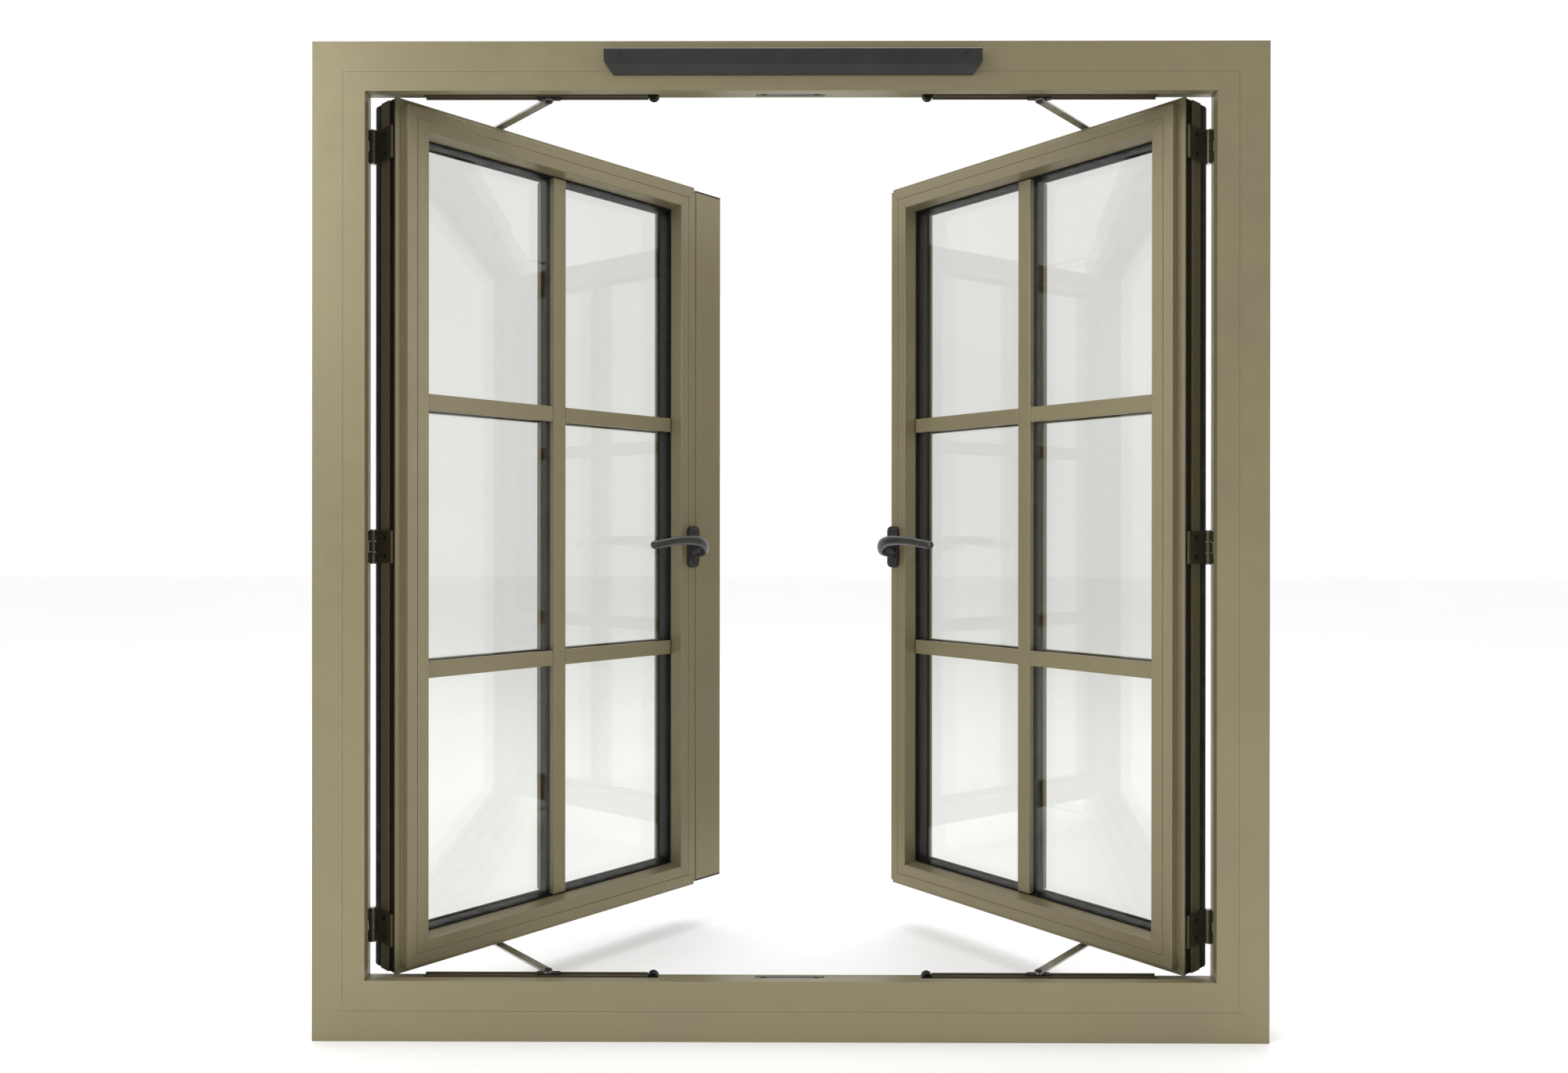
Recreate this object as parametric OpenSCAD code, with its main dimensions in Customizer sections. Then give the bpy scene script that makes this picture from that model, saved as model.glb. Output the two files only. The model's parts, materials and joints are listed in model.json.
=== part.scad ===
// Double casement window: two outward-opening sashes on butt hinges in a square-cut aluminium frame.
// X runs along the frame's width, Y from the room to the outside, Z up.
// Every sash piece is drawn in the closed left-hand place and then carried to where it hangs open.

/* [Frame] */
// Overall width of the frame
frame_w = 1200; // [1000:5:1500]
// Overall height of the frame
frame_h = 1254; // [1000:1:1520]
// Depth of the frame, from its room face to its outer face
frame_d = 70; // [70:1:90]
// Visible width of each jamb
jamb_face = 66; // [55:1:90]
// Visible height of the head
head_face = 62; // [58:1:90]
// Visible height of the sill
sill_face = 76; // [55:1:100]
// Thickness of the room-side lip that the sashes close against
lip_t = 12; // [10:1:13]
// How far the rebate is set back behind the lip
rebate = 18; // [18:1:20]
// Wall of the frame profiles
frame_wall = 2.5; // [2:0.5:4]
// Radius of the holes that fix the jambs to the wall
fixing_r = 3.75; // [2.5:0.25:5]

/* [Sash] */
// Thickness of each sash
sash_d = 68; // [68:0.5:69]
// Distance of a closed sash's face behind the frame's face
face_set = 1; // [0:0.5:2]
// How far a sash overlaps the lip behind it
overlap = 6; // [4:0.5:6]
// Shadow gap between a sash's face and the lip
lip_gap = 3.5; // [2.5:0.5:5]
// Visible width of a sash member's face
face_w = 30; // [26:1:40]
// Distance from the outer edge of a sash's face to the bead's joint line
bead_line = 13.8; // [13.8:0.1:16]
// Wall of the sash profiles
sash_wall = 2; // [1.5:0.5:2.5]
// Opening angle at which the left sash stands
open_left = 47.5; // [0:0.5:75]
// Opening angle at which the right sash stands
open_right = 49.5; // [0:0.5:75]

/* [Glazing] */
// Thickness of each glass pane
pane_t = 4; // [3:0.5:6]
// Space between the two panes
pane_space = 18; // [12:1:18]
// Width of a glazing bar
bar_w = 22; // [16:1:40]
// Thickness of a glazing bar
bar_t = 9; // [6:0.5:12]
// Number of pane rows
rows = 3; // [1:1:4]

/* [Meeting cover] */
// Width of the cover profile on the left sash's free edge
cover_w = 54; // [48:1:80]
// Shadow gap between the cover and the left sash's face
cover_gap = 1.5; // [1:0.5:3]
// Thickness of the cover's end caps
cap_t = 2.5; // [1.5:0.5:5]

/* [Hinges] */
// Height of a hinge
hinge_h = 42; // [36:1:60]
// Radius of a hinge's knuckle
knuckle_r = 5; // [4.5:0.1:5.4]
// Radius of a hinge's pin
pin_r = 2.5; // [2:0.1:3]
// Running clearance around pins and journals
run_gap = 0.05; // [0.02:0.01:0.1]
// Distance of the end hinges' middles from the rebate's ends
hinge_inset = 68; // [60:1:150]

/* [Stays] */
// Length of a stay's arm between its two pivots
arm_l = 170; // [140:1:190]
// Width of a stay's arm
arm_w = 12; // [10:0.5:12]
// Thickness of a stay's arm
arm_t = 2.5; // [1.5:0.5:2.5]
// Widest opening angle of a sash
open_max = 75; // [60:1:75]

/* [Handles] */
// Height of the handle's spindle above the frame's base
handle_z = 608; // [500:1:700]
// Length of a handle's grip
grip_l = 118; // [90:1:140]
// Height of a handle's base plate
base_h = 66; // [60:1:90]
// Width of a handle's base plate
base_w = 21; // [18:0.5:22]
// Travel of the shoot bolts
bolt_travel = 12; // [8:0.5:12]

/* [Vent] */
// Length of the vent's cover
vent_l = 470; // [300:5:600]
// Height of the vent's cover
vent_h = 29; // [26:1:34]
// Depth of the vent's cover
vent_t = 14; // [12:1:20]

/* [Hidden] */
$fn = 48;
eps = 0.5;
olive = [0.44, 0.41, 0.31];
black = [0.05, 0.05, 0.055];
steel = [0.66, 0.66, 0.64];

// Frame: each box is [x0, x1, z0, z1]
frame_box = [-frame_w / 2, frame_w / 2, 0, frame_h];
face_widths = [jamb_face, jamb_face, sill_face, head_face];
jamb_x = -frame_w / 2 + jamb_face - rebate;
floor_z = sill_face - rebate;
ceiling_z = frame_h - head_face + rebate;
groove_a = 38;
groove_w = 0.4;
break_y0 = 26;
break_y1 = 40;
break_t = 1.5;
fixing_y = 48;
fixing_span = 0.6 * frame_h;
cleat_l = 90;

// Sash outline, closed: its main edge is behind the lip, its nose stands inside the lip
step = overlap + lip_gap;
sash_edge = rebate - overlap;
meet_half = (cover_gap + cover_w + lip_gap) / 2;
sash_x0 = jamb_x + sash_edge;
sash_x1 = -meet_half + step;
sash_z0 = floor_z + sash_edge;
sash_z1 = ceiling_z - sash_edge;
sash_box = [sash_x0, sash_x1, sash_z0, sash_z1];
sash_reach = 50;

// Depths through the sash, from the room outwards
y_face = face_set;
y_flange = lip_t + 2.5;
y_break = y_flange + 3.5;
y_outer = y_break + 14;
y_relief = y_outer + 20;
y_bead = y_face + 22;
y_glass = y_bead + 6;
y_glass_end = y_glass + 2 * pane_t + pane_space;
y_back = y_face + sash_d;
y_leg = y_back - 10;
relief = 1.5;
seal_y0 = y_relief + 2;
seal_y1 = y_back - 3;
seal_a = 4;

// Distances in from the sash's main edge
a_nose = step;
a_line = step + bead_line;
a_body = a_line + 1.7;
a_face = step + face_w;
a_bead = a_face + 3;
a_glass = a_body + 5;
a_gasket = a_bead + 2;
a_spacer = a_bead + 0.5;
joint_gap = 0.3;
mitre_gap = 0.06;
strut_t = 3;
butt_gap = 0.1;

// Hinges and stays
pin_x = jamb_x + sash_edge / 2;
pin_y = frame_d - 8;
leaf_t = 3;
frame_leaf_t = 2;
leaf_y0 = 20;
leaf_y1 = pin_y - knuckle_r - 1;
knuckle_gap = 0.5;
knuckle_h = (hinge_h - 2 * knuckle_gap) / 3;
mid_z = (floor_z + ceiling_z) / 2;
hinge_zs = [floor_z + hinge_inset - hinge_h / 2, mid_z - 14 - hinge_h / 2,
    ceiling_z - hinge_inset - hinge_h / 2];
hinge_screws = [[leaf_y0 + 18, 9], [leaf_y0 + 18, hinge_h - 9]];
track_h = 3.8;
track_base = 1.2;
track_w = 12;
track_x0 = pin_x + 2 * arm_l * cos(open_max) - 20;
track_x1 = pin_x + 2 * arm_l + 20;
track_screw_xs = [track_x0 + 8, (track_x0 + track_x1) / 2, track_x1 - 3.5];
shoe_l = 30;
shoe_z0 = floor_z + track_base + 0.3;
shoe_h = 4;
arm_z = shoe_z0 + shoe_h + 0.3;
stay_pin_r = 3;
stay_head_r = 4.5;
bar_z = sash_z0 - leaf_t;
stay_bar_l = arm_l + 15;
stay_bar_y0 = 44;

// Handle, gearbox and rods
handle_a = a_nose + 7.5;
handle_x = sash_x1 - handle_a;
base_t = 7;
base_z = handle_z + 9;
journal_r = 6;
spindle_w = 7;
spindle_hole_r = 5.4;
base_screw_zs = [base_z - 25, base_z + 25];
gearbox_h = 90;
gearbox_d = 20;
rod_a = 14;
rod_x = sash_x1 - rod_a;
rod_y = y_outer + 12;
bolt_r = 4;
bolt_gap = 0.4;
keep_t = 5;
keep_w = 2 * (meet_half - step + rod_a) + 22;

// Vent
vent_x = 3;
vent_top = frame_h - 14;
vent_wall = 2;
vent_screw_xs = [-vent_l / 2 + 20, vent_l / 2 - 20];
vent_screw_z = vent_top - 8;
slot_l = vent_l - 110;
slot_h = 10;

// ---------- helpers ----------

// Moves everything so that the origin is under the middle of the frame's depth
module seat() translate([0, -frame_d / 2, 0]) children();

// Upright prism that cuts one member of a ring along its mitres
module mitre(side, box, w, inner) {
    x0 = box[0];
    x1 = box[1];
    z0 = box[2];
    z1 = box[3];
    a = [x0 + w[0], z0 + w[2]];
    b = [x1 - w[1], z0 + w[2]];
    c = [x1 - w[1], z1 - w[3]];
    d = [x0 + w[0], z1 - w[3]];
    i = [inner, inner];
    j = [inner, -inner];
    g = [mitre_gap, 0];
    shape = side == "left" ? [[x0, z0], a - i, a, d, d - j, [x0, z1]]
        : side == "right" ? [[x1, z0], [x1, z1], c + i, c, b, b + j]
        : side == "bottom" ? [[x0, z0] + g, [x1, z0] - g, b + j - g, b - g, a + g, a - i + g]
        : [[x0, z1] + g, d - j + g, d + g, c - g, c + i - g, [x1, z1] - g];
    translate([0, 200, 0]) rotate([90, 0, 0]) linear_extrude(400) polygon(shape);
}

// Extrudes a member's section, given as distance in from the edge and depth, along one side of a box
module run(side, box) {
    w = box[1] - box[0];
    h = box[3] - box[2];
    if (side == "left") translate([box[0], 0, box[2]]) linear_extrude(h) children();
    if (side == "right")
        translate([box[1], 0, box[2]]) mirror([1, 0, 0]) linear_extrude(h) children();
    if (side == "bottom")
        translate([box[0], 0, box[2]]) mirror([0, 0, 1]) rotate([0, 90, 0])
            linear_extrude(w) children();
    if (side == "top") translate([box[0], 0, box[3]]) rotate([0, 90, 0]) linear_extrude(w) children();
}

// One mitred member of the frame
module frame_bar(side) intersection() {
    union() run(side, frame_box) children();
    mitre(side, frame_box, face_widths, rebate);
}

// All four members, each with its own face width in $face
module frame_ring() {
    frame_bar("left", $face = jamb_face) children();
    frame_bar("right", $face = jamb_face) children();
    frame_bar("bottom", $face = sill_face) children();
    frame_bar("top", $face = head_face) children();
}

// One mitred member of a sash
module sash_bar(side) intersection() {
    union() run(side, sash_box) children();
    mitre(side, sash_box, [sash_reach, sash_reach, sash_reach, sash_reach], 1);
}

module sash_ring() {
    sash_bar("left") children();
    sash_bar("right") children();
    sash_bar("bottom") children();
    sash_bar("top") children();
}

// Repeats a lower piece at the head, upside down
module both_ends() {
    children();
    translate([0, 0, floor_z + ceiling_z]) mirror([0, 0, 1]) children();
}

// Repeats a left-hand piece on the right
module both_sides() {
    children();
    mirror([1, 0, 0]) children();
}

// Turns a piece about an upright axis at [x, y]
module turn(x, y, angle) translate([x, y, 0]) rotate([0, 0, angle]) translate([-x, -y, 0]) children();

function opening(side) = side == "left" ? open_left : open_right;

// Carries a closed left-hand piece to its place in the left or the right sash
module hang(side) seat() {
    if (side == "left") turn(pin_x, pin_y, open_left) children();
    if (side == "right") mirror([1, 0, 0]) turn(pin_x, pin_y, open_right) children();
}

// Stands along +Z with its head's top at the origin
module screw(r, head_r, head_h, len) difference() {
    union() {
        translate([0, 0, -head_h]) cylinder(r = head_r, h = head_h);
        translate([0, 0, -len]) cylinder(r = r, h = len - head_h);
    }
    translate([0, 0, -0.6 * head_h]) cylinder(r = 0.4 * head_r, h = head_h, $fn = 6);
}

module screw_hole(r, head_r, head_h, len) {
    translate([0, 0, -head_h]) cylinder(r = head_r + 0.2, h = head_h + eps);
    translate([0, 0, -len - 1]) cylinder(r = r + 0.03, h = len + 1);
}

module rounded_rect(w, h, r) {
    square([w - 2 * r, h], center = true);
    square([w, h - 2 * r], center = true);
    for (x = [-1, 1], y = [-1, 1]) translate([x * (w / 2 - r), y * (h / 2 - r)]) circle(r);
}

// ---------- sections: distance in from the edge, depth ----------

module frame_section(face) difference() {
    polygon([[0, 0], [face, 0], [face, lip_t], [face - rebate, lip_t],
        [face - rebate, frame_d], [0, frame_d]]);
    polygon([[frame_wall, frame_wall], [face - frame_wall, frame_wall],
        [face - frame_wall, lip_t - frame_wall], [face - rebate - frame_wall, lip_t - frame_wall],
        [face - rebate - frame_wall, frame_d - frame_wall], [frame_wall, frame_d - frame_wall]]);
    translate([groove_a, -eps]) square([groove_w, eps + groove_w]);
    translate([face - rebate - break_t, break_y0]) square([break_t + eps, break_y1 - break_y0]);
}

module inner_section() difference() {
    polygon([[0, y_flange], [a_nose, y_flange], [a_nose, y_face], [a_line, y_face],
        [a_line, y_break], [0, y_break]]);
    translate([a_nose + sash_wall, y_face + sash_wall])
        square([bead_line - 2 * sash_wall, y_break - y_face - 2 * sash_wall]);
}

module outer_section() difference() {
    polygon([[0, y_outer], [a_body, y_outer], [a_body, y_leg], [a_face + 2, y_leg],
        [a_face, y_back], [relief, y_back], [relief, seal_y1], [seal_a, seal_y1],
        [seal_a, seal_y0], [relief, seal_y0], [relief, y_relief], [0, y_relief]]);
    polygon([[sash_wall, y_outer + sash_wall], [a_body - sash_wall, y_outer + sash_wall],
        [a_body - sash_wall, y_leg + sash_wall], [a_face - sash_wall, y_leg + sash_wall],
        [a_face - sash_wall - 1, y_back - sash_wall], [seal_a + sash_wall, y_back - sash_wall],
        [seal_a + sash_wall, y_relief - sash_wall], [sash_wall, y_relief - sash_wall]]);
}

module bead_section() difference() {
    polygon([[a_line + joint_gap, y_face], [a_face, y_face], [a_bead, y_bead], [a_body, y_bead],
        [a_body, y_break], [a_body, y_break - joint_gap], [a_line + joint_gap, y_break - joint_gap]]);
    polygon([[a_body + sash_wall, y_face + sash_wall], [a_face - sash_wall, y_face + sash_wall],
        [a_bead - sash_wall - 0.5, y_bead - sash_wall], [a_body + sash_wall, y_bead - sash_wall]]);
}

module break_section(face)
    strip(face - rebate - break_t, face - rebate, break_y0, break_y1);

module strip(a0, a1, y0, y1) translate([a0, y0]) square([a1 - a0, y1 - y0]);

// ---------- frame ----------

// Both holes that fix a jamb to the wall, along X
module fixing_holes() for (z = [-1, 1])
    translate([-frame_w / 2 - 1, fixing_y, frame_h / 2 + z * fixing_span / 2])
        rotate([0, 90, 0]) cylinder(r = fixing_r, h = jamb_face);

// Places a child at each screw of the left jamb's three hinges
module at_frame_hinge_screws() for (z = hinge_zs, s = hinge_screws)
    translate([jamb_x + frame_leaf_t, s[0], z + s[1]]) rotate([0, 90, 0]) children();

// Places a child at each screw of the lower left track
module at_track_screws() for (x = track_screw_xs)
    translate([x, pin_y, floor_z + track_base]) children();

module at_vent_screws() for (x = vent_screw_xs)
    translate([vent_x + x, -vent_t, vent_screw_z]) rotate([90, 0, 0]) children();

module jamb() color(olive) difference() {
    frame_bar("left") frame_section(jamb_face);
    fixing_holes();
    at_frame_hinge_screws() screw_hole(2, 3.2, 0.8, 14);
}

module frame_jamb_left() seat() jamb();
module frame_jamb_right() seat() mirror([1, 0, 0]) jamb();

module frame_head() color(olive) seat() difference() {
    frame_bar("top") frame_section(head_face);
    translate([vent_x - slot_l / 2, -1, vent_top - vent_h / 2 - slot_h / 2])
        cube([slot_l, frame_d + 2, slot_h]);
    at_vent_screws() screw_hole(2, 0, 0, 30);
    both_sides() translate([0, 0, floor_z + ceiling_z]) mirror([0, 0, 1])
        at_track_screws() screw_hole(1.5, 0, 0, 12);
}

module frame_sill() color(olive) seat() difference() {
    frame_bar("bottom") frame_section(sill_face);
    both_sides() at_track_screws() screw_hole(1.5, 0, 0, 12);
}

// Strips of plastic let into the rebate between the frame's room side and its outer side
module frame_thermal_break() color(black) seat() difference() {
    frame_ring() break_section($face);
    both_sides() at_frame_hinge_screws() screw_hole(2, 0, 0, 14);
}

// Cubes at the four corners of a box
module corner_blocks(box, l) for (x = [box[0], box[1] - l], z = [box[2], box[3] - l])
    translate([x, 0, z]) cube([l, frame_d, l]);

// L-shaped cleats inside the corners of the frame
module frame_corner_cleats() color(steel) seat() intersection() {
    corner_blocks(frame_box, cleat_l);
    difference() {
        translate([frame_box[0] + frame_wall, 15, frame_wall])
            cube([frame_w - 2 * frame_wall, 40, frame_h - 2 * frame_wall]);
        translate([frame_box[0] + 33, 0, 33]) cube([frame_w - 66, frame_d, frame_h - 66]);
    }
}

// Soft strip behind the lip, all round
module frame_seal() color(black) seat()
    frame_ring() strip($face - 5, $face - 1, lip_t, y_flange - joint_gap);

module frame_screws() color(steel) seat() {
    both_sides() at_frame_hinge_screws() screw(2, 3.2, 0.8, 13);
    both_sides() both_ends() at_track_screws() screw(1.5, 2.8, 0.7, 11);
}

module vent_screws() color(black) seat() at_vent_screws() screw(2, 3.8, 1.2, 26);

// Front view of the vent with its lower corners cut
module vent_outline(margin) polygon([[-vent_l / 2 + margin, vent_top - margin],
    [vent_l / 2 - margin, vent_top - margin], [vent_l / 2 - margin, vent_top - vent_h / 2 - 2],
    [vent_l / 2 - 10 - margin, vent_top - vent_h + margin],
    [-vent_l / 2 + 10 + margin, vent_top - vent_h + margin],
    [-vent_l / 2 + margin, vent_top - vent_h / 2 - 2]]);

// Side view of the vent: depth in front of its seat, height
module vent_side(margin) polygon([[margin > 0 ? eps : 0, vent_top - margin],
    [-vent_t + 1 + margin, vent_top - margin], [-vent_t + margin, vent_top - 1 - margin],
    [-vent_t + margin, vent_top - vent_h + 8 + margin / 2],
    [-3 - margin / 2, vent_top - vent_h + margin],
    [margin > 0 ? eps : 0, vent_top - vent_h + margin]]);

module vent_block(margin) intersection() {
    translate([vent_x, 50, 0]) rotate([90, 0, 0]) linear_extrude(100) vent_outline(margin);
    translate([vent_x - vent_l / 2, 0, 0]) rotate([90, 0, 90]) linear_extrude(vent_l)
        vent_side(margin);
}

module vent_shell() difference() {
    vent_block(0);
    vent_block(vent_wall);
}

// Black cover over the vent's slot, with a screw post at each end
module vent_cover() color(black) seat() difference() {
    union() {
        vent_shell();
        for (x = vent_screw_xs) translate([vent_x + x, 0, vent_screw_z]) rotate([90, 0, 0])
            cylinder(r = 5, h = vent_t - vent_wall / 2);
    }
    at_vent_screws() screw_hole(2, 3.8, 1.2, 26);
}

// Outer hood over the same slot, open along its underside
module vent_canopy() color(black) seat() translate([0, frame_d, 0]) mirror([0, 1, 0]) difference() {
    vent_shell();
    translate([vent_x - slot_l / 2, -vent_t + 3, vent_top - vent_h - 1])
        cube([slot_l, vent_t - 5, 5]);
}

// Plates on the sill and the head that the shoot bolts enter
module shoot_bolt_keeps() color(black) seat() both_ends() difference() {
    translate([-keep_w / 2, rod_y - 9, floor_z]) cube([keep_w, 18, keep_t]);
    for (x = [-1, 1]) translate([x * rod_x, rod_y, floor_z - 1])
        cylinder(r = bolt_r + 1, h = keep_t + 2);
}

// ---------- hinges ----------

// Knuckle of one hinge between two heights
module knuckle(z0, z1) translate([pin_x, pin_y, z0]) difference() {
    cylinder(r = knuckle_r, h = z1 - z0);
    translate([0, 0, -1]) cylinder(r = pin_r + run_gap, h = z1 - z0 + 2);
}

// Arm that joins a leaf to its knuckle, hollowed for the pin
module leaf_arm(x0, t, z0, z1) difference() {
    translate([x0, leaf_y1 - 1, z0]) cube([t, pin_y - leaf_y1 + 1, z1 - z0]);
    translate([pin_x, pin_y, z0 - 1]) cylinder(r = pin_r + run_gap, h = z1 - z0 + 2);
}

module hinge_frame_leaf() difference() {
    union() {
        translate([jamb_x, leaf_y0 + 10, 0]) cube([frame_leaf_t, leaf_y1 - leaf_y0 - 10, hinge_h]);
        for (z = [0, hinge_h - knuckle_h]) {
            leaf_arm(jamb_x + 1, frame_leaf_t, z, z + knuckle_h);
            knuckle(z, z + knuckle_h);
        }
    }
    for (s = hinge_screws) translate([jamb_x + frame_leaf_t, s[0], s[1]]) rotate([0, 90, 0])
        screw_hole(2, 3.2, 0.8, 5);
}

module hinge_frame_leaves() color(steel) seat() both_sides()
    for (z = hinge_zs) translate([0, 0, z]) hinge_frame_leaf();

// Pin with a flat head at each end
module hinge_pins() color(steel) seat() both_sides() for (z = hinge_zs)
    translate([pin_x, pin_y, z]) {
        translate([0, 0, -1.5]) cylinder(r = 3.8, h = 1.5);
        cylinder(r = pin_r, h = hinge_h);
        translate([0, 0, hinge_h]) cylinder(r = 3.8, h = 1.5);
    }

module hinge_sash_leaf() difference() {
    union() {
        translate([sash_x0 - leaf_t, leaf_y0, 0]) cube([leaf_t, leaf_y1 - leaf_y0, hinge_h]);
        leaf_arm(sash_x0 - leaf_t, leaf_t - 0.5, knuckle_h + knuckle_gap,
            2 * knuckle_h + knuckle_gap);
        knuckle(knuckle_h + knuckle_gap, 2 * knuckle_h + knuckle_gap);
    }
    for (s = hinge_screws) translate([sash_x0 - leaf_t, s[0], s[1]]) rotate([0, -90, 0])
        screw_hole(2, 3.4, 1.2, 5);
}

// ---------- stays ----------

module stay_track() difference() {
    translate([track_x0, pin_y - track_w / 2, floor_z])
        cube([track_x1 - track_x0, track_w, track_h]);
    translate([track_x0 - 1, pin_y - track_w / 2 + track_base, floor_z + track_base])
        cube([track_x1 - track_x0 + 2, track_w - 2 * track_base, track_h]);
    at_track_screws() screw_hole(1.5, 2.8, 0.7, 5);
}

module stay_tracks() color(steel) seat() both_sides() both_ends() stay_track();

// Domed rubber stop at the inner end of each track
module track_end_stops() color(black) seat() both_sides() both_ends()
    translate([track_x1 + 7, pin_y - track_w / 2, floor_z]) intersection() {
        rotate([-90, 0, 0]) cylinder(r = 7, h = track_w);
        translate([-7, 0, 0]) cube([14, track_w, 7]);
    }

module stay_arm() difference() {
    union() {
        translate([pin_x + arm_l, pin_y - arm_w / 2, arm_z]) cube([arm_l, arm_w, arm_t]);
        for (i = [1, 2]) translate([pin_x + i * arm_l, pin_y, arm_z])
            cylinder(r = arm_w / 2, h = arm_t);
    }
    for (i = [1, 2]) translate([pin_x + i * arm_l, pin_y, arm_z - 1])
        cylinder(r = stay_pin_r + run_gap, h = arm_t + 2);
}

// Shoe that slides in the track, with the rivet that carries the arm
module stay_shoe() translate([pin_x + 2 * arm_l, pin_y, 0]) {
    translate([-shoe_l / 2, -track_w / 2 + track_base + 0.3, shoe_z0])
        cube([shoe_l, track_w - 2 * track_base - 0.6, shoe_h]);
    translate([0, 0, shoe_z0]) cylinder(r = stay_pin_r, h = shoe_h + arm_t + 1);
    translate([0, 0, arm_z + arm_t + 0.3]) cylinder(r = stay_head_r, h = 1.2);
}

// Bar under the sash, with the rivet that carries the arm's other end
module stay_bar() {
    translate([pin_x + 14, stay_bar_y0, bar_z])
        cube([stay_bar_l - 14, pin_y + 5 - stay_bar_y0, leaf_t]);
    translate([pin_x + arm_l, pin_y, 0]) {
        translate([0, 0, arm_z - 0.6]) cylinder(r = stay_pin_r, h = bar_z - arm_z + 1.6);
        translate([0, 0, arm_z - 1.5]) cylinder(r = stay_head_r, h = 1.2);
    }
}

// ---------- sash: closed left-hand place ----------

module spindle_bore() translate([handle_x, -1, handle_z]) rotate([-90, 0, 0])
    cylinder(r = spindle_hole_r, h = y_outer + 4);

module at_base_screws() for (z = base_screw_zs)
    translate([handle_x, y_face - base_t, z]) rotate([90, 0, 0]) children();

module at_sash_hinge_screws() for (z = hinge_zs, s = hinge_screws)
    translate([sash_x0 - leaf_t, s[0], z + s[1]]) rotate([0, -90, 0]) children();

module bolt_bores() translate([rod_x, rod_y, sash_z0 - 1])
    cylinder(r = bolt_r + bolt_gap, h = 2 * sash_wall + 2);

module hinge_stile() color(olive) sash_bar("left") inner_section();

module meeting_stile() color(olive) difference() {
    sash_bar("right") inner_section();
    spindle_bore();
    at_base_screws() screw_hole(2, 0, 0, 14);
}

module rails() color(olive) {
    sash_bar("bottom") inner_section();
    sash_bar("top") inner_section();
}

module outer_profiles() color(olive) difference() {
    sash_ring() outer_section();
    spindle_bore();
    both_ends() bolt_bores();
    at_sash_hinge_screws() screw_hole(2, 0, 0, 12);
}

// Two plastic struts that join each member's inner profile to its outer one
module sash_thermal_break() color(black) {
    sash_ring() strip(1, 1 + strut_t, y_break, y_outer);
    sash_ring() strip(a_body - strut_t, a_body, y_break, y_outer);
}

module sash_corner_cleats() color(steel) intersection() {
    corner_blocks(sash_box, 60);
    sash_ring() strip(a_nose + sash_wall, a_line - sash_wall, y_face + sash_wall,
        y_break - sash_wall);
}

module glazing_beads() color(olive) sash_ring() bead_section();

// Glazing gaskets on both sides of the glass and the weather seal in the edge's groove
module seals() color(black) {
    sash_ring() strip(a_face - 3.5, a_gasket, y_bead, y_glass);
    sash_ring() strip(a_face - 3.5, a_gasket, y_glass_end, y_leg);
    sash_ring() strip(0.8, seal_a, seal_y0, seal_y1);
}

module pane(y) translate([sash_x0 + a_glass, y, sash_z0 + a_glass])
    cube([sash_x1 - sash_x0 - 2 * a_glass, pane_t, sash_z1 - sash_z0 - 2 * a_glass]);

module glass_panes() color([0.8, 0.86, 0.85, 0.4]) {
    pane(y_glass);
    pane(y_glass_end - pane_t);
}

bars_x = (sash_x0 + sash_x1) / 2;
clear_h = sash_z1 - sash_z0 - 2 * a_gasket;
row_h = (clear_h - (rows - 1) * bar_w) / rows;
bar_zs = [for (i = [1 : 1 : rows - 1]) sash_z0 + a_gasket + i * row_h + (i - 0.5) * bar_w];

// One upright bar and the level bars that butt against it, between the ends given as a distance in
module bar_cross(half, a_end, y0, y1) {
    level_l = bars_x - half - sash_x0 - a_end - 2 * butt_gap;
    translate([bars_x - half, y0, sash_z0 + a_end + butt_gap])
        cube([2 * half, y1 - y0, sash_z1 - sash_z0 - 2 * a_end - 2 * butt_gap]);
    for (z = bar_zs, x = [sash_x0 + a_end + butt_gap, bars_x + half + butt_gap])
        translate([x, y0, z - half]) cube([level_l, y1 - y0, 2 * half]);
}

// Edge spacer between the panes, and the dark spacers behind the glazing bars
module glass_spacers() color(black) {
    sash_ring() strip(a_glass + 2, a_spacer, y_glass + pane_t, y_glass_end - pane_t);
    bar_cross(bar_w / 2 - 3, a_spacer, y_glass + pane_t, y_glass_end - pane_t);
}

module glazing_bars() color(olive) {
    bar_cross(bar_w / 2, a_gasket, y_glass - bar_t, y_glass);
    bar_cross(bar_w / 2, a_gasket, y_glass_end, y_glass_end + bar_t);
}

module hinge_leaves() color(steel) for (z = hinge_zs) translate([0, 0, z]) hinge_sash_leaf();

module sash_screws() color(steel) {
    at_sash_hinge_screws() screw(2, 3.4, 1.2, 11);
    at_base_screws() screw(2, 3, 1.5, 13);
}

module stay_bars() color(black) both_ends() stay_bar();

module handle_base() color(black) difference() {
    translate([handle_x, y_face, base_z]) rotate([90, 0, 0]) linear_extrude(base_t)
        rounded_rect(base_w, base_h, 8);
    translate([handle_x, y_face + 1, handle_z]) rotate([90, 0, 0])
        cylinder(r = journal_r + run_gap, h = base_t + 2);
    at_base_screws() screw_hole(2, 3, 1.5, 14);
}

// Case of the drive gear behind the handle
module gearbox() color(steel) difference() {
    translate([sash_x1 - a_body + sash_wall + 0.3, y_outer + sash_wall, handle_z - gearbox_h / 2])
        cube([a_body - 2 * sash_wall - 4.5, gearbox_d, gearbox_h]);
    translate([handle_x, y_outer, handle_z]) rotate([-90, 0, 0])
        cylinder(r = spindle_hole_r, h = gearbox_d + 4);
}

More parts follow.
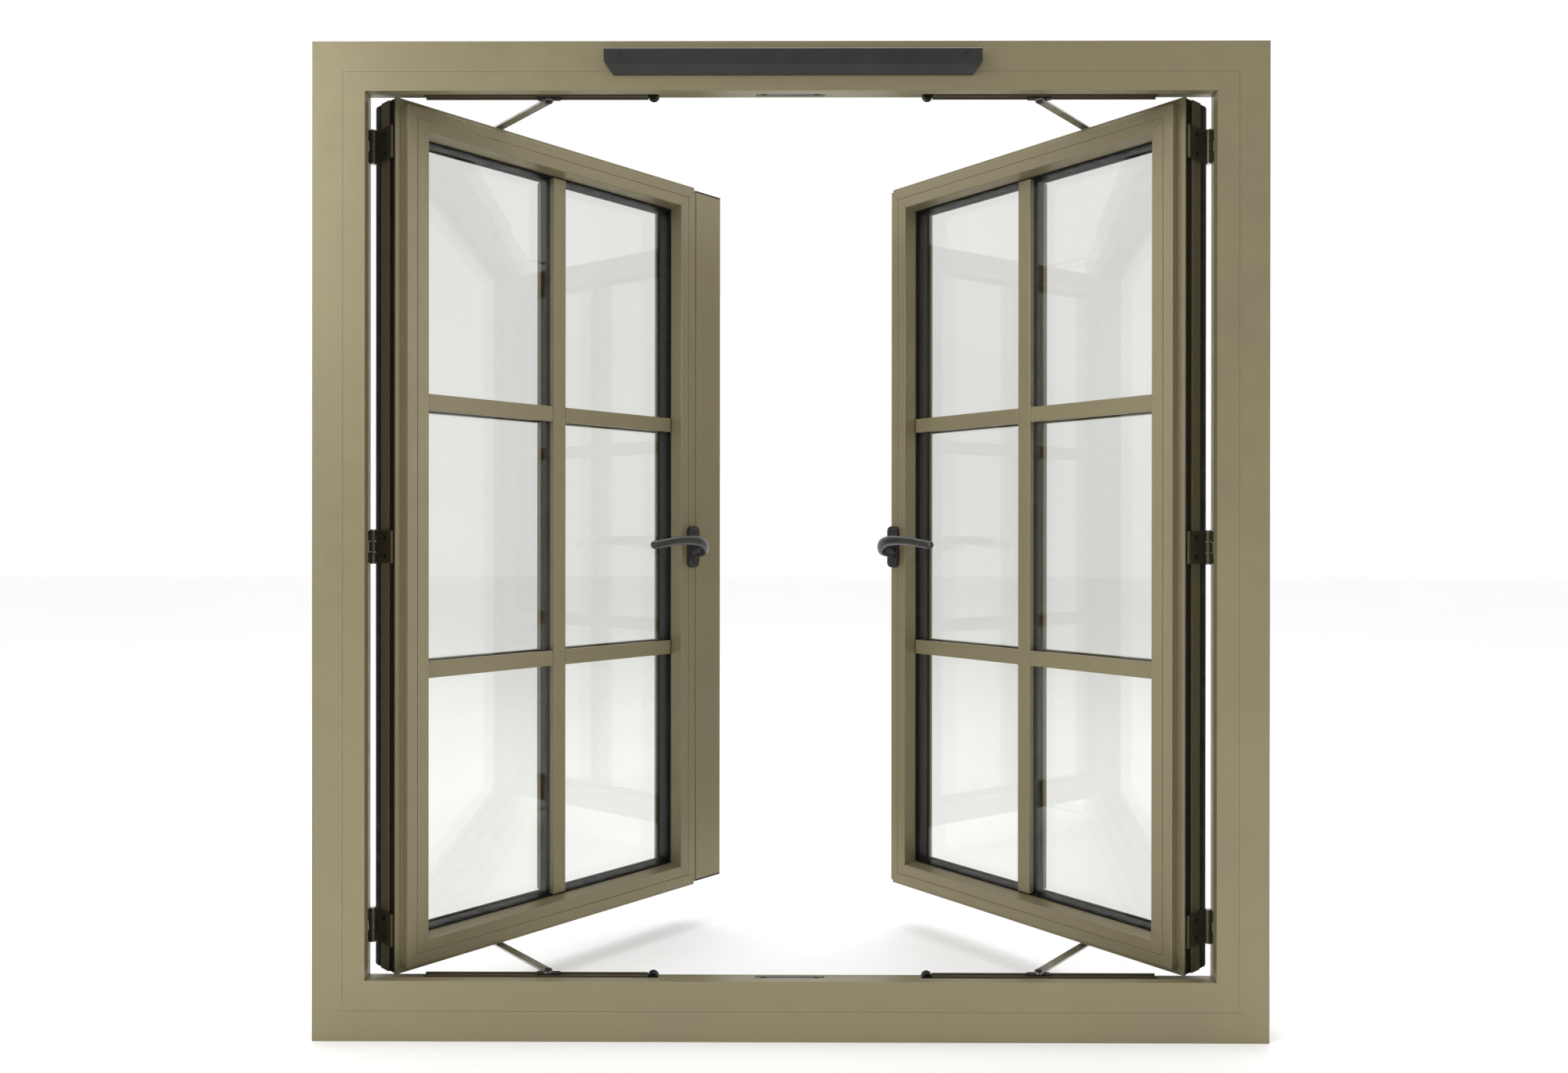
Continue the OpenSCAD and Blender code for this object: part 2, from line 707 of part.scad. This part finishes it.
// Points along the lever from its neck to its tip, and its radius at each
lever_path = [[0, -4, 0], [0, -19, 4], [-8, -31, 14], [-30, -37, 20], [-72, -38, 18],
    [-grip_l, -37, 12]];
lever_r = [6.5, 6, 5.8, 5.6, 5.6, 5];

// Lever with its collar and journal, and the square spindle that it turns
module handle_lever() color(black) translate([handle_x, y_face - base_t, handle_z]) {
    translate([0, -0.3, 0]) rotate([90, 0, 0]) cylinder(r = 8.5, h = 4);
    translate([0, -0.5, 0]) rotate([-90, 0, 0]) cylinder(r = journal_r, h = base_t + 0.2);
    translate([-spindle_w / 2, base_t - 0.5, -spindle_w / 2])
        cube([spindle_w, y_outer + 16 - y_face, spindle_w]);
    for (i = [0 : len(lever_path) - 2]) hull() {
        translate(lever_path[i]) sphere(r = lever_r[i], $fn = 20);
        translate(lever_path[i + 1]) sphere(r = lever_r[i + 1], $fn = 20);
    }
}

// Rod from the gearbox to its shoot bolt, drawn at the lower end
module rod() {
    end = handle_z - gearbox_h / 2 - 0.3;
    translate([rod_x - 5, rod_y - 2, sash_z0 + 30]) cube([10, 4, end - sash_z0 - 30]);
    translate([rod_x, rod_y, sash_z0 + 0.5]) cylinder(r = bolt_r, h = 40);
}

// The same rod above the gearbox
module rod_up() {
    start = handle_z + gearbox_h / 2 + 0.3;
    translate([rod_x - 5, rod_y - 2, start]) cube([10, 4, sash_z1 - 30 - start]);
    translate([rod_x, rod_y, sash_z1 - 40.5]) cylinder(r = bolt_r, h = 40);
}

// Profile on the left sash's free edge that covers the joint between the sashes
module meeting_cover() color(olive) {
    x0 = -meet_half + cover_gap;
    x1 = x0 + cover_w;
    back_x = meet_half - step - sash_edge;
    z0 = sill_face + lip_gap + cap_t;
    h = frame_h - head_face - lip_gap - cap_t - z0;
    translate([0, 0, z0]) linear_extrude(h) difference() {
        polygon([[x0, y_face], [x1, y_face], [x1, lip_t], [back_x, lip_t], [back_x, y_back],
            [sash_x1, y_back], [sash_x1, lip_t], [x0, lip_t]]);
        translate([sash_x1 + sash_wall, y_face + 3])
            square([back_x - sash_x1 - 2 * sash_wall, y_back - y_face - 3 - sash_wall]);
    }
}

module cover_caps() color(black) {
    x0 = -meet_half + cover_gap;
    z_sum = sill_face + frame_h - head_face;
    for (z = [sill_face + lip_gap, z_sum - sill_face - lip_gap - cap_t]) translate([0, 0, z])
        linear_extrude(cap_t) {
            translate([x0, y_face]) square([cover_w, lip_t - y_face]);
            translate([sash_x1, lip_t]) square([meet_half - step - sash_edge - sash_x1,
                y_back - lip_t]);
        }
}

// Arms and shoes of a sash's two stays, folded out to the sash's opening angle
module stay_arms(side) turn(pin_x + arm_l, pin_y, -2 * opening(side)) both_ends() stay_arm();

module stay_shoes(side) turn(pin_x + arm_l, pin_y, -2 * opening(side))
    turn(pin_x + 2 * arm_l, pin_y, opening(side)) both_ends() stay_shoe();

frame_jamb_left();
frame_jamb_right();
frame_head();
frame_sill();
frame_thermal_break();
frame_corner_cleats();
frame_seal();
frame_screws();
vent_cover();
vent_canopy();
vent_screws();
shoot_bolt_keeps();
hinge_frame_leaves();
hinge_pins();
stay_tracks();
track_end_stops();
hang("left") meeting_cover();  // left_meeting_cover
hang("left") cover_caps();  // left_cover_caps
for (side = ["left", "right"]) {
    hang(side) hinge_stile();
    hang(side) meeting_stile();
    hang(side) rails();
    hang(side) outer_profiles();
    hang(side) sash_thermal_break();
    hang(side) sash_corner_cleats();
    hang(side) glazing_beads();
    hang(side) seals();
    hang(side) glass_panes();
    hang(side) glass_spacers();
    hang(side) glazing_bars();
    hang(side) hinge_leaves();
    hang(side) sash_screws();
    hang(side) stay_bars();
    hang(side) handle_base();
    hang(side) gearbox();
    hang(side) handle_lever();
    hang(side) color(steel) rod_up();
    hang(side) color(steel) rod();
    hang(side) color(steel) stay_arms(side);
    hang(side) color(black) stay_shoes(side);
}
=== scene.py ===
import json
import math

import bmesh
import bpy
from mathutils import Matrix, Vector


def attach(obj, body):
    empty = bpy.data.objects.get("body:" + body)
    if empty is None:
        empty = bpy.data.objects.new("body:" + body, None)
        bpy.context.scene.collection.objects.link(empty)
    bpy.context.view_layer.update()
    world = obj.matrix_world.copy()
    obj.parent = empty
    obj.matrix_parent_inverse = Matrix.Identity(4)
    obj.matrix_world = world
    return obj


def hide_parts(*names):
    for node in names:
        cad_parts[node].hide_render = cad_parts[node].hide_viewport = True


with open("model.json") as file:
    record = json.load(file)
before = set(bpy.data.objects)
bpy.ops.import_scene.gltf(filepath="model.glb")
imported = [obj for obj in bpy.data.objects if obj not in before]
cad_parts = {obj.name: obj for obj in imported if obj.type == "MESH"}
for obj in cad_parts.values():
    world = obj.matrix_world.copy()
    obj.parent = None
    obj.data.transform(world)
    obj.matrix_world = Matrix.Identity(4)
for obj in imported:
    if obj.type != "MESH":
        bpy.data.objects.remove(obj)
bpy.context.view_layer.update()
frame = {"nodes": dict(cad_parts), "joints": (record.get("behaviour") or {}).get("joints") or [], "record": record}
NODES = frame["nodes"]
SLOTS = {part["node"]: part["material_slot"] for part in frame["record"]["subparts"]}
SIDES = ("left", "right")
MM = 0.001


# ---------- materials ----------

# Sockets of a colour mix node, by number because several share one name
MIX_FACTOR, MIX_FIRST, MIX_SECOND, MIX_RESULT = 0, 6, 7, 2
# Most values of a noise texture lie between these two
NOISE_LOW, NOISE_HIGH = 0.3, 0.7


class Tree:
    """A material's node tree with short helpers."""

    def __init__(self, name):
        self.mat = bpy.data.materials.new(name)
        self.mat.use_nodes = True
        self.tree = self.mat.node_tree
        self.tree.nodes.clear()
        self.out = self.add("ShaderNodeOutputMaterial")
        self.bsdf = self.add("ShaderNodeBsdfPrincipled")
        self.link(self.bsdf.outputs["BSDF"], self.out.inputs["Surface"])
        self.coord = self.add("ShaderNodeTexCoord").outputs["Object"]

    def add(self, kind):
        return self.tree.nodes.new(kind)

    def link(self, a, b):
        self.tree.links.new(a, b)

    def stretched(self, scale):
        """Object coordinates scaled by axis, which draws a texture out along the smallest."""
        mapping = self.add("ShaderNodeMapping")
        mapping.inputs["Scale"].default_value = scale
        self.link(self.coord, mapping.inputs["Vector"])
        return mapping.outputs["Vector"]

    def noise(self, scale, detail, rough=0.5, vector=None):
        noise = self.add("ShaderNodeTexNoise")
        noise.inputs["Scale"].default_value = scale
        noise.inputs["Detail"].default_value = detail
        noise.inputs["Roughness"].default_value = rough
        self.link(vector or self.coord, noise.inputs["Vector"])
        return noise.outputs["Fac"]

    def cells(self, scale):
        cells = self.add("ShaderNodeTexVoronoi")
        cells.inputs["Scale"].default_value = scale
        self.link(self.coord, cells.inputs["Vector"])
        return cells.outputs["Distance"]

    def spread(self, fac, low, high):
        """Maps a noise to the range from low to high."""
        spread = self.add("ShaderNodeMapRange")
        spread.inputs["From Min"].default_value = NOISE_LOW
        spread.inputs["From Max"].default_value = NOISE_HIGH
        spread.inputs["To Min"].default_value = low
        spread.inputs["To Max"].default_value = high
        self.link(fac, spread.inputs["Value"])
        return spread.outputs["Result"]

    def mix(self, blend):
        mix = self.add("ShaderNodeMix")
        mix.data_type = "RGBA"
        mix.blend_type = blend
        return mix

    def colours(self, fac, first, second):
        """Goes from the first colour to the second."""
        mix = self.mix("MIX")
        mix.inputs[MIX_FIRST].default_value = (*first, 1)
        mix.inputs[MIX_SECOND].default_value = (*second, 1)
        self.link(fac, mix.inputs[MIX_FACTOR])
        return mix.outputs[MIX_RESULT]

    def mottled(self, noise, first, second):
        """Two colours shared out by a noise."""
        return self.colours(self.spread(noise, 0, 1), first, second)

    def multiplied(self, first, second):
        mix = self.mix("MULTIPLY")
        mix.inputs[MIX_FACTOR].default_value = 1.0
        self.link(first, mix.inputs[MIX_FIRST])
        self.link(second, mix.inputs[MIX_SECOND])
        return mix.outputs[MIX_RESULT]

    def bump(self, height, strength, distance, under=None):
        bump = self.add("ShaderNodeBump")
        bump.inputs["Strength"].default_value = strength
        bump.inputs["Distance"].default_value = distance
        self.link(height, bump.inputs["Height"])
        if under is not None:
            self.link(under, bump.inputs["Normal"])
        return bump.outputs["Normal"]

    def set(self, **values):
        """Sets sockets of the shader, whose names have spaces for the underscores here."""
        for key, value in values.items():
            self.bsdf.inputs[key.replace("_", " ")].default_value = value

    def use(self, key, socket):
        self.link(socket, self.bsdf.inputs[key])


def tone(colour, factor):
    return tuple(min(1.0, channel * factor) for channel in colour)


def powder_coat(name, colour, metallic, rough, coat):
    """Sprayed metallic coat: fine flakes, faint clouds and a slight orange peel."""
    t = Tree(name)
    flakes = t.noise(scale=2600, detail=1.0)
    clouds = t.noise(scale=5, detail=3.0)
    base = t.mottled(flakes, tone(colour, 0.86), tone(colour, 1.14))
    tint = t.mottled(clouds, (0.93, 0.93, 0.94), (1, 1, 0.99))
    t.use("Base Color", t.multiplied(base, tint))
    t.use("Roughness", t.spread(t.noise(scale=38, detail=4.0), *rough))
    peel = t.bump(t.noise(scale=650, detail=2.0), strength=0.10, distance=0.0004)
    t.use("Normal", t.bump(flakes, strength=0.05, distance=0.0001, under=peel))
    t.set(Metallic=metallic, Coat_Weight=coat, Coat_Roughness=0.25)
    return t.mat


def moulded(name, colour, rough, grain, depth, shine):
    """Plastic or rubber with a fine sparked grain."""
    t = Tree(name)
    blotches = t.noise(scale=24, detail=3.0)
    t.use("Base Color", t.mottled(blotches, tone(colour, 0.8), tone(colour, 1.3)))
    t.use("Roughness", t.spread(t.noise(scale=60, detail=3.0), *rough))
    t.use("Normal", t.bump(t.cells(grain), strength=0.25, distance=depth))
    t.set(Specular_IOR_Level=shine)
    return t.mat


def brushed(name, colour, stretch, rough):
    """Bare metal with fine lines along the axis of the smallest stretch, and faint blotches."""
    t = Tree(name)
    lines = t.noise(scale=420, detail=3.0, rough=0.6, vector=t.stretched(stretch))
    blotches = t.noise(scale=45, detail=4.0)
    t.use("Base Color", t.mottled(blotches, tone(colour, 0.82), tone(colour, 1.05)))
    t.use("Roughness", t.spread(lines, *rough))
    t.use("Normal", t.bump(lines, strength=0.12, distance=0.0002))
    t.set(Metallic=1.0)
    return t.mat


def glazing(name):
    """Clear float glass, barely clouded."""
    t = Tree(name)
    clouds = t.noise(scale=3, detail=2.0)
    t.use("Base Color", t.mottled(clouds, (0.845, 0.85, 0.835), (0.875, 0.88, 0.865)))
    t.set(Transmission_Weight=1.0, IOR=1.5, Roughness=0.0)
    return t.mat


RECIPES = {
    "olive_coat": (powder_coat, dict(
        colour=(0.250, 0.216, 0.122), metallic=0.35, rough=(0.34, 0.46), coat=0.15)),
    "black_coat": (powder_coat, dict(
        colour=(0.013, 0.012, 0.012), metallic=0.0, rough=(0.26, 0.38), coat=0.3)),
    "black_plastic": (moulded, dict(
        colour=(0.011, 0.010, 0.010), rough=(0.34, 0.5), grain=1500, depth=0.0002, shine=0.35)),
    "black_rubber": (moulded, dict(
        colour=(0.005, 0.005, 0.005), rough=(0.5, 0.7), grain=900, depth=0.0003, shine=0.2)),
    "vent_plastic": (moulded, dict(
        colour=(0.016, 0.015, 0.014), rough=(0.30, 0.42), grain=1500, depth=0.0002, shine=0.5)),
    "dark_steel": (powder_coat, dict(
        colour=(0.045, 0.042, 0.036), metallic=0.5, rough=(0.34, 0.5), coat=0.1)),
    "bronze_steel": (powder_coat, dict(
        colour=(0.125, 0.108, 0.070), metallic=0.6, rough=(0.3, 0.46), coat=0.1)),
    "steel": (brushed, dict(
        colour=(0.62, 0.61, 0.58), stretch=(1, 1, 0.06), rough=(0.24, 0.42))),
    "stay_steel": (brushed, dict(
        colour=(0.58, 0.56, 0.52), stretch=(1, 0.1, 1), rough=(0.25, 0.45))),
    "cleat_aluminium": (brushed, dict(
        colour=(0.75, 0.75, 0.76), stretch=(0.08, 1, 1), rough=(0.3, 0.5))),
    "glass": (glazing, {}),
}
MATERIALS = {name: make(name, **values) for name, (make, values) in RECIPES.items()}

# Nodes that look different from the rest of their slot
SPECIAL = {
    "stay_tracks": "bronze_steel", "hinge_frame_leaves": "bronze_steel",
    "vent_cover": "vent_plastic", "vent_canopy": "vent_plastic",
    "hinge_pins": "stay_steel",
}
for side in SIDES:
    SPECIAL[side + "_stay_arms"] = "stay_steel"
    SPECIAL[side + "_hinge_leaves"] = "bronze_steel"


# ---------- rounded edges ----------

# Edge radius in mm for the nodes whose edges show
ROUNDED = {
    "frame_jamb_left": 0.6, "frame_jamb_right": 0.6, "frame_head": 0.6, "frame_sill": 0.6,
    "vent_cover": 0.8, "vent_canopy": 0.8, "left_meeting_cover": 0.8, "left_cover_caps": 0.6,
}
SASH_ROUNDED = {
    "hinge_stile": 0.6, "meeting_stile": 0.6, "rails": 0.6, "outer_profiles": 0.6,
    "glazing_beads": 0.6, "glazing_bars": 1.2, "handle_base": 0.8, "stay_arms": 0.4,
    "stay_bars": 0.4,
}
for side in SIDES:
    for piece, radius in SASH_ROUNDED.items():
        ROUNDED[side + "_" + piece] = radius

# Pieces that lie close together when the sashes are shut: with faces merged before the bevel,
# the cover cut through the right meeting stile there, so these keep every face of the CAD
CLOSE_FITTED = ("left_meeting_cover", "right_meeting_stile", "left_meeting_stile")

WELD_DISTANCE = 0.01 * MM
FLAT_ANGLE = math.radians(0.5)
SHARP_ANGLE = math.radians(32)


def soften(obj, radius):
    """Rounds the sharp edges of a CAD node with modifiers only, by a radius in metres."""
    obj.modifiers.new("weld", "WELD").merge_threshold = WELD_DISTANCE
    if obj.name not in CLOSE_FITTED:
        flat = obj.modifiers.new("flat", "DECIMATE")
        flat.decimate_type = "DISSOLVE"
        flat.angle_limit = FLAT_ANGLE
    bevel = obj.modifiers.new("edges", "BEVEL")
    bevel.width = radius
    bevel.segments = 2
    bevel.limit_method = "ANGLE"
    bevel.angle_limit = SHARP_ANGLE
    bevel.miter_outer = "MITER_ARC"
    obj.modifiers.new("shading", "WEIGHTED_NORMAL").keep_sharp = True


for name, obj in NODES.items():
    material = MATERIALS[SPECIAL.get(name, SLOTS[name])]
    if obj.material_slots:
        for slot in obj.material_slots:
            slot.material = material
    else:
        obj.data.materials.append(material)
    if name in ROUNDED:
        soften(obj, ROUNDED[name] * MM)


# ---------- lever handles ----------

# Rows of the lever's path in mm: along the sash towards the hinge, out into the room, up,
# half height and half depth
LEVER = [(0, 6, 0, 7.4, 7.4), (0, 14, 1, 8.4, 8.0), (-1, 27, 5, 9.2, 7.0), (7, 37, 12, 9.0, 6.2),
         (24, 42.5, 18, 7.8, 5.8), (48, 44, 19.5, 7.0, 5.4), (76, 44.5, 18, 6.6, 5.2),
         (98, 44, 15, 6.7, 5.3), (113, 43.5, 13, 6.4, 5.2), (119, 43.2, 12.6, 5.0, 4.2),
         (121.5, 43, 12.4, 2.0, 1.8)]
LEVER_STEPS = 7
LEVER_POINTS = 24
# Rows in mm: out into the room, radius
COLLAR = [(7.3, 7.6), (7.5, 8.5), (10.6, 8.5), (11.5, 7.9), (11.8, 6.9)]
COLLAR_POINTS = 40
SPINDLE = [(-10.0, 4.6), (-9.0, 4.8), (7.0, 4.8), (8.0, 4.8)]
SPINDLE_POINTS = 4
CREASE_ANGLE = math.radians(50)


def catmull(points, steps):
    """Catmull-Rom curve through rows of numbers, in so many steps from row to row."""
    rows = [points[0]] + list(points) + [points[-1]]
    out = []
    for i in range(1, len(rows) - 2):
        p0, p1, p2, p3 = rows[i - 1:i + 3]
        for k in range(steps):
            t = k / steps
            out.append([0.5 * (2 * b + (c - a) * t + (2 * a - 5 * b + 4 * c - d) * t * t
                               + (3 * b - a - 3 * c + d) * t ** 3)
                        for a, b, c, d in zip(p0, p1, p2, p3)])
    out.append(list(points[-1]))
    return out


def add_ring(bm, centre, u, v, ru, rv, count):
    """Points of an ellipse with radius ru along u and rv along v."""
    angles = [2 * math.pi * i / count for i in range(count)]
    return [bm.verts.new(centre + u * (ru * math.cos(a)) + v * (rv * math.sin(a)))
            for a in angles]


def skin(bm, rings):
    """Joins the rings in order and caps both ends."""
    for a, b in zip(rings, rings[1:]):
        n = len(a)
        for i in range(n):
            bm.faces.new((a[i], a[(i + 1) % n], b[(i + 1) % n], b[i]))
    bm.faces.new(list(reversed(rings[0])))
    bm.faces.new(rings[-1])


def build_lever(side):
    """A curved lever, its collar and its square spindle, in place of the CAD's plain lever."""
    joint = next(j for j in frame["joints"] if j["name"] == side + "_handle_turn")
    hand = 1 if side == "left" else -1
    room = Vector(joint["axis"]) * hand
    along = Vector((room.y, -room.x, 0)) * hand
    up = Vector((0, 0, 1))
    origin = Vector(joint["pos_m"])

    def at(h, r, z):
        return origin + (along * h + room * r + up * z) * MM

    bm = bmesh.new()
    path = catmull(LEVER, LEVER_STEPS)
    spots = [at(*row[:3]) for row in path]
    rings = []
    for i, row in enumerate(path):
        ahead = (spots[min(i + 1, len(spots) - 1)] - spots[max(i - 1, 0)]).normalized()
        sideways = ahead.cross(up).normalized()
        high = sideways.cross(ahead).normalized()
        half_height, half_depth = row[3] * MM, row[4] * MM
        rings.append(add_ring(bm, spots[i], high, sideways, half_height, half_depth,
                              LEVER_POINTS))
    skin(bm, rings)
    for profile, count in ((COLLAR, COLLAR_POINTS), (SPINDLE, SPINDLE_POINTS)):
        skin(bm, [add_ring(bm, at(0, r, 0), along, up, radius * MM, radius * MM, count)
                  for r, radius in profile])
    bmesh.ops.recalc_face_normals(bm, faces=bm.faces)
    mesh = bpy.data.meshes.new(side + "_lever_grip")
    bm.to_mesh(mesh)
    bm.free()
    for polygon in mesh.polygons:
        polygon.use_smooth = True
    obj = bpy.data.objects.new(side + "_lever_grip", mesh)
    bpy.context.scene.collection.objects.link(obj)
    mesh.materials.append(MATERIALS["black_coat"])
    obj.modifiers.new("creases", "EDGE_SPLIT").split_angle = CREASE_ANGLE
    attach(obj, side + "_handle")
    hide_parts(side + "_handle_lever")


for side in SIDES:
    build_lever(side)


# ---------- floor ----------

FLOOR_CORNERS = [(-12, -8, 0), (12, -8, 0), (12, 16, 0), (-12, 16, 0)]

floor_tree = Tree("floor_white")
floor_clouds = floor_tree.noise(scale=1.5, detail=2.0)
floor_tree.use("Base Color",
               floor_tree.mottled(floor_clouds, (0.90, 0.90, 0.90), (0.93, 0.93, 0.93)))
floor_tree.set(Roughness=0.7, Specular_IOR_Level=0.2,
               Emission_Color=(1, 1, 1, 1), Emission_Strength=0.10)
mesh = bpy.data.meshes.new("floor")
mesh.from_pydata(FLOOR_CORNERS, [], [(0, 1, 2, 3)])
floor = bpy.data.objects.new("floor", mesh)
bpy.context.scene.collection.objects.link(floor)
mesh.materials.append(floor_tree.mat)


# ---------- light ----------

# Strength of the white world by the Y of a direction: dim behind the camera, so that the
# frame's face doesn't wash out, and rising to full at the sides
WORLD_STRENGTH = {"From Min": -0.95, "From Max": -0.25, "To Min": 0.42, "To Max": 1.03}

scene = bpy.context.scene
world = bpy.data.worlds.new("studio")
scene.world = world
world.use_nodes = True
nodes, links = world.node_tree.nodes, world.node_tree.links
back = nodes["Background"]
back.inputs["Color"].default_value = (1, 1, 1, 1)
direction = nodes.new("ShaderNodeSeparateXYZ")
links.new(nodes.new("ShaderNodeTexCoord").outputs["Generated"], direction.inputs["Vector"])
ramp = nodes.new("ShaderNodeMapRange")
ramp.interpolation_type = "SMOOTHSTEP"
for key, value in WORLD_STRENGTH.items():
    ramp.inputs[key].default_value = value
links.new(direction.outputs["Y"], ramp.inputs["Value"])
links.new(ramp.outputs["Result"], back.inputs["Strength"])


def softbox(name, place, target, size, power):
    """A lamp of size (width, height) at a place, turned to its target."""
    lamp = bpy.data.lights.new(name, "AREA")
    lamp.shape = "RECTANGLE"
    lamp.size, lamp.size_y = size
    lamp.energy = power
    obj = bpy.data.objects.new(name, lamp)
    scene.collection.objects.link(obj)
    obj.location = place
    obj.rotation_euler = (Vector(target) - Vector(place)).to_track_quat("-Z", "Y").to_euler()


softbox("key", place=(-2.3, -2.0, 1.9), target=(-0.3, 0, 0.7), size=(1.6, 1.6), power=40)
softbox("fill", place=(2.8, -1.6, 1.5), target=(0.0, 0.2, 0.7), size=(1.6, 1.6), power=12)
softbox("top", place=(0, 0.8, 3.4), target=(0, 0.5, 0), size=(3.0, 2.0), power=46)


# ---------- camera ----------

# Level, square to the frame and close, as in the photo; place in metres, lens and sensor in mm
CAMERA_PLACE = (-0.0015, -1.460, 0.635)
CAMERA_LENS, CAMERA_SENSOR = 26.12, 36
CAMERA_YAW, CAMERA_PITCH, CAMERA_ROLL = (math.radians(a) for a in (0.25, -0.05, 0.05))

camera_data = bpy.data.cameras.new("camera")
camera_data.sensor_width = CAMERA_SENSOR
camera_data.lens = CAMERA_LENS
camera_data.clip_start = 0.05
camera = bpy.data.objects.new("camera", camera_data)
scene.collection.objects.link(camera)
aim = (Matrix.Rotation(CAMERA_YAW, 4, "Z") @ Matrix.Rotation(math.pi / 2 + CAMERA_PITCH, 4, "X")
       @ Matrix.Rotation(CAMERA_ROLL, 4, "Z"))
camera.matrix_world = Matrix.Translation(CAMERA_PLACE) @ aim
scene.camera = camera
scene.view_settings.view_transform = "Standard"
scene.view_settings.look = "None"
